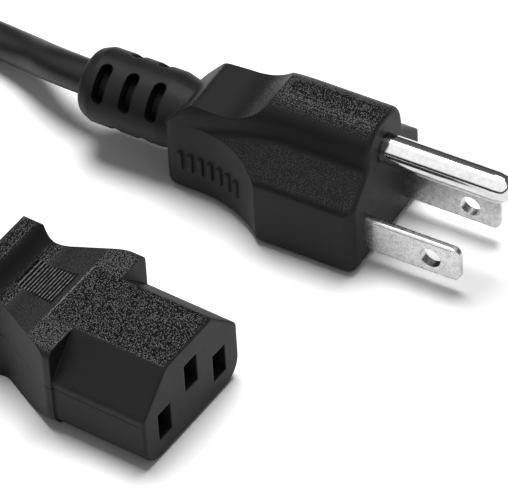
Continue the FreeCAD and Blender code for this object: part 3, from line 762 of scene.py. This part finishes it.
        # Moulded nylon: a dull, deep black down in the slots.
        insert = Skin(
            "black_moulded_nylon",
            "#0a0a0b",
            "#0e0e0f",
            roughness=0.6,
            ripple_size=0.8,
            ripple_depth=0.006,
            gloss=0.1,
        )
        dress(nodes["contact_carrier"], insert.material())
        # Stamped brass: a clean yellow metal with browner patches.
        brass = Metal(
            "stamped_brass",
            colour="#d0ab5e",
            stain="#9c7b3e",
            speck="#5c4620",
            roughness=0.28,
            worn_roughness=0.42,
        ).material()
        for core in Core:
            dress(nodes[f"{core.value}_contact"], brass)
        wiring.build(nodes, End.CONNECTOR)


@dataclass
class Coil:
    """The put-away turns of the cord, in millimetres.

    Attributes:
        centre: Middle of the coil on the floor.
        outer: Radius of the outermost turn's middle.
        turns: Number of turns from the plug's lead to the connector's.
        turns_in: Turns that the lower row spirals inwards.
        turns_level: Turns at the innermost radius.
        rise: Turns between which the cord climbs to the upper row.
        start: Angle where the plug's lead joins, in degrees.
        low: Height of the lower row's middle.
        points: Control points a turn.
    """

    centre: Span = (-122.9, -21.7)
    outer: float = 44.15
    turns: float = 7 + 2 / 3
    turns_in: float = 3.5
    turns_level: float = 0.2
    rise: Span = (3.2, 3.9)
    start: float = 60.0
    low: float = 3.7
    points: int = 15

    def radius(self, turn: float, pitch: float) -> float:
        """Give the radius after a number of turns.

        Args:
            turn: Turns since the start.
            pitch: Distance between neighbouring turns.

        Returns:
            The radius in millimetres.
        """
        inward = min(turn, self.turns_in)
        outward = max(0.0, turn - self.turns_in - self.turns_level)
        return self.outer - pitch * inward + pitch * min(outward, self.turns_in)

    def height(self, turn: float, pitch: float) -> float:
        """Give the height after a number of turns, with an eased climb between the rows.

        Args:
            turn: Turns since the start.
            pitch: Distance between the two rows.

        Returns:
            The height in millimetres.
        """
        first, last = self.rise
        share = min(1.0, max(0.0, (turn - first) / (last - first)))
        return self.low + pitch * share * share * (3 - 2 * share)

    def route(self, pitch: float) -> list[Vector]:
        """Give the control points of the turns.

        Args:
            pitch: The cord's diameter.

        Returns:
            Points in millimetres, from the plug's lead to the connector's.
        """
        # The spline cuts inside its control points, so they lie a little further out than the turns.
        stretch = 1 / math.cos(math.pi / self.points)
        found = []
        for i in range(round(self.turns * self.points) + 1):
            turn = i / self.points
            angle = math.radians(self.start) + math.tau * turn
            radius = self.radius(turn, pitch) * stretch
            x = self.centre[0] + radius * math.cos(angle)
            y = self.centre[1] + radius * math.sin(angle)
            found.append(Vector((x, y, self.height(turn, pitch))))
        return found


@dataclass
class Cord:
    """The jacketed cord from the plug to the connector, in millimetres.

    Attributes:
        coil: The turns between the two leads.
        diameter: Diameter of the jacket.
        length: Real length in metres.
        plug_lead: Control points from the plug to the coil.
        connector_lead: Control points from the coil to the connector.
        exit: Where the cord leaves the plug's strain relief.
        round_steps: Fineness of the jacket's round.
        line_steps: Steps of the line from one control point to the next.
    """

    coil: Coil
    diameter: float = 5.8
    length: float = 1.8
    plug_lead: tuple[Point, ...] = (
        (-20.9, 0, 10.4),
        (-40.5, 0, 10.4),
        (-56.1, 8.0, 3.0),
        (-82.9, 9.4, 3.5),
    )
    connector_lead: tuple[Point, ...] = (
        (-86.9, -51.9, 8.6),
        (-57.94, -43.23, 8.1),
        (-43.8, -44.2, 8.1),
        (-28.01, -45.32, 8.1),
    )
    exit: Point = (-36.7, 0, 10.4)
    round_steps: int = 6
    line_steps: int = 8

    def jacket(self) -> bpy.types.Object:
        """Make the jacket as one smooth curve.

        Returns:
            The curve's object.
        """
        route = [Vector(p) for p in self.plug_lead] + self.coil.route(self.diameter)
        route += [Vector(p) for p in self.connector_lead]
        curve = bpy.data.curves.new("cord_jacket", "CURVE")
        curve.dimensions = "3D"
        curve.bevel_depth = self.diameter / 2 * MM
        curve.bevel_resolution = self.round_steps
        curve.resolution_u = self.line_steps
        curve.use_fill_caps = True
        spline = curve.splines.new("NURBS")
        spline.points.add(len(route) - 1)
        for point, place in zip(spline.points, route):
            point.co = (*(place * MM), 1.0)
        spline.order_u = 3
        spline.use_endpoint_u = True
        # Extruded PVC: an even satin black.
        curve.materials.append(Skin("black_extruded_pvc", "#121213", "#181819").material())
        return bpy.data.objects.new("cord_jacket", curve)

    def build(self, nodes: Nodes) -> None:
        """Lay the cord in place of its CAD solids, and dress its tie.

        Args:
            nodes: CAD objects by node name.
        """
        cord = self.jacket()
        bpy.context.scene.collection.objects.link(cord)
        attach(cord, "root")
        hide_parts("plug_lead", "connector_lead", "cord_coil")
        Vector(self.exit) * MM
        [nodes[name] for name in self.carried(nodes)]
        log.info("%s is laid", cord.name)
        # Woven nylon tape: a duller black with a coarse, soft relief.
        tape = Skin(
            "black_woven_nylon",
            "#19191a",
            "#222223",
            roughness=0.5,
            ripple_size=1.2,
            ripple_depth=0.03,
        )
        dress(nodes["coil_tie"], tape.material())

    def carried(self, nodes: Nodes) -> list[str]:
        """Name the pieces on the cord's far end.

        Args:
            nodes: CAD objects by node name.

        Returns:
            Node names of the connector's pieces and the coil's tie.
        """
        found = [name for name in nodes if name.startswith("connector_") and name != "connector_lead"]
        found += [f"{core.value}_contact" for core in Core]
        return found + ["contact_carrier", "coil_tie"]


@dataclass(frozen=True)
class View:
    """The photograph's camera; angles in degrees, lengths in millimetres.

    Attributes:
        azimuth: Turn round the upright, 0 looking along +Y.
        elevation: Height above the horizon.
        roll: Tilt of the picture.
        distance: Distance from the target.
        target: Point at the picture's middle.
        lens: Focal length for a sensor as wide as the picture.
        sensor: Width of that sensor.
        clip: Nearest and farthest distance that it sees, in metres.
    """

    azimuth: float = 32.30
    elevation: float = 43.73
    roll: float = -3.53
    distance: float = 744.26
    target: Point = (-1.23, -12.73, 0.0)
    lens: float = 347.86
    sensor: float = 36.0
    clip: Span = (0.01, 20.0)

    def build(self) -> None:
        """Make the camera and set it as the scene's."""
        azimuth, elevation, roll = (math.radians(a) for a in (self.azimuth, self.elevation, self.roll))
        flat = math.cos(elevation)
        back = Vector((math.sin(azimuth) * flat, -math.cos(azimuth) * flat, math.sin(elevation)))
        right = Vector((math.cos(azimuth), math.sin(azimuth), 0))
        up = back.cross(right)
        turned_right = right * math.cos(roll) + up * math.sin(roll)
        turned_up = up * math.cos(roll) - right * math.sin(roll)
        data = bpy.data.cameras.new("photo_camera")
        data.lens = self.lens
        data.sensor_width = self.sensor
        data.clip_start, data.clip_end = self.clip
        camera = bpy.data.objects.new("photo_camera", data)
        bpy.context.scene.collection.objects.link(camera)
        matrix = Matrix((turned_right, turned_up, back)).transposed().to_4x4()
        matrix.translation = (Vector(self.target) + back * self.distance) * MM
        camera.matrix_world = matrix
        bpy.context.scene.camera = camera
        log.info("%s is set", camera.name)


@dataclass(frozen=True)
class Key:
    """The wide soft light, nearly overhead, that casts the shadows.

    Attributes:
        towards: Direction from the part to the light.
        spread: Width of the light as seen from the part, in degrees.
        strength: Light on a face square to it.
    """

    towards: Point = (-0.12, 0.24, 0.963)
    spread: float = 36.0
    strength: float = 2.75

    def build(self) -> None:
        """Hang the light."""
        data = bpy.data.lights.new("key_light", "SUN")
        data.angle = math.radians(self.spread)
        data.energy = self.strength
        lamp = bpy.data.objects.new("key_light", data)
        lamp.rotation_euler = (-Vector(self.towards)).to_track_quat("-Z", "Y").to_euler()
        bpy.context.scene.collection.objects.link(lamp)
        log.info("%s hangs towards %s", lamp.name, self.towards)


@dataclass(frozen=True)
class Studio:
    """White paper floor, studio surroundings and the key light.

    Attributes:
        key: The light that casts the shadows.
        floor_size: Side of the floor in metres.
        paper: Colour of the paper.
        camera_white: How bright the camera and glossy faces see that paper, which holds it at
            white outside the shadows.
        surround: Strength of the even light from all round.
        wall: Strength of the dark walls that glossy faces mirror.
        ceiling: Strength of the bright ceiling that they mirror.
        back_share: Share of the ceiling's strength behind the part.
        lean: How far the bright ceiling reaches behind the part, as a slope.
        ceiling_fade: Distances from that reach between which the ceiling fades.
        horizon: Heights between which the walls turn into the ceiling.
    """

    key: Key = Key()
    floor_size: float = 6.0
    paper: str = "#fafafa"
    camera_white: float = 1.35
    surround: float = 0.15
    wall: float = 0.02
    ceiling: float = 1.5
    back_share: float = 0.1
    lean: float = 0.37
    ceiling_fade: Span = (-0.08, 0.1)
    horizon: Span = (0.2, 0.34)

    def build(self) -> None:
        """Make the floor, the surroundings and the light."""
        self.floor()
        self.surroundings()
        self.key.build()
        bpy.context.scene.view_settings.view_transform = "Standard"

    def floor(self) -> None:
        """Lay a white floor that keeps the shadows."""
        half = self.floor_size / 2
        corners = [(-half, -half, 0), (half, -half, 0), (half, half, 0), (-half, half, 0)]
        mesh = bpy.data.meshes.new("studio_floor")
        mesh.from_pydata(corners, [], [(0, 1, 2, 3)])
        # Matt paper: no gloss, only the soft shadows.
        shade = Shade(bpy.data.materials.new("white_matt_paper"))
        path = shade.add("ShaderNodeLightPath").node.outputs
        rays = {0: path["Is Camera Ray"], 1: path["Is Glossy Ray"]}
        seen = shade.add("ShaderNodeMath", rays, operation="MAXIMUM")
        white = (self.camera_white, self.camera_white, self.camera_white, 1.0)
        papers = {COLOUR_A: linear(self.paper), COLOUR_B: white}
        colour = shade.add("ShaderNodeMix", {SHARE: seen, **papers}, **COLOURS)
        paper = shade.add("ShaderNodeBsdfDiffuse", {"Color": colour})
        shade.fill(shade.tree.nodes["Material Output"], {"Surface": paper})
        mesh.materials.append(shade.owner)
        floor = bpy.data.objects.new("studio_floor", mesh)
        bpy.context.scene.collection.objects.link(floor)
        log.info("%s is laid", floor.name)

    def surroundings(self) -> None:
        """Light the scene evenly, with a white view and a bright ceiling in what faces mirror."""
        world = bpy.data.worlds.new("studio_surround")
        shade = Shade(world)
        add = shade.add
        way = add("ShaderNodeTexCoord", out="Generated")
        _, depth, height = add("ShaderNodeSeparateXYZ", {0: way}).node.outputs
        past = add("ShaderNodeMath", {0: height, 1: -self.lean, 2: depth}, operation="MULTIPLY_ADD")
        near, far = self.ceiling_fade
        fade = {"From Min": near, "From Max": far}
        strengths = {"To Min": self.ceiling, "To Max": self.ceiling * self.back_share}
        fading = {"Value": past, **fade, **strengths}
        ceiling = add("ShaderNodeMapRange", fading, interpolation_type="SMOOTHSTEP")
        low, high = self.horizon
        above = add("ShaderNodeMapRange", {"Value": height, "From Min": low, "From Max": high})
        mirrored = add("ShaderNodeMix", {SHARE: above, NUMBER_A: self.wall, NUMBER_B: ceiling})
        path = add("ShaderNodeLightPath").node.outputs
        lit = {NUMBER_A: self.surround, NUMBER_B: mirrored}
        strength = add("ShaderNodeMix", {SHARE: path["Is Glossy Ray"], **lit})
        strength = add("ShaderNodeMix", {SHARE: path["Is Camera Ray"], NUMBER_A: strength, NUMBER_B: 1.0})
        shade.fill(shade.tree.nodes["Background"], {"Color": WHITE, "Strength": strength})
        bpy.context.scene.world = world
        log.info("%s is set", world.name)


def clear_scene() -> None:
    """Remove what Blender's starting scene holds."""
    for item in list(bpy.data.objects):
        bpy.data.objects.remove(item)


def main() -> None:
    """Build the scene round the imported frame."""
    logging.basicConfig(level=logging.INFO, format="%(message)s")
    clear_scene()
    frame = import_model()
    nodes = frame["nodes"]
    View().build()
    Cord(Coil()).build(nodes)
    wiring = Wiring()
    Plug().build(nodes, wiring)
    Connector().build(nodes, wiring)
    Studio().build()


if __name__ == "__main__":
    main()
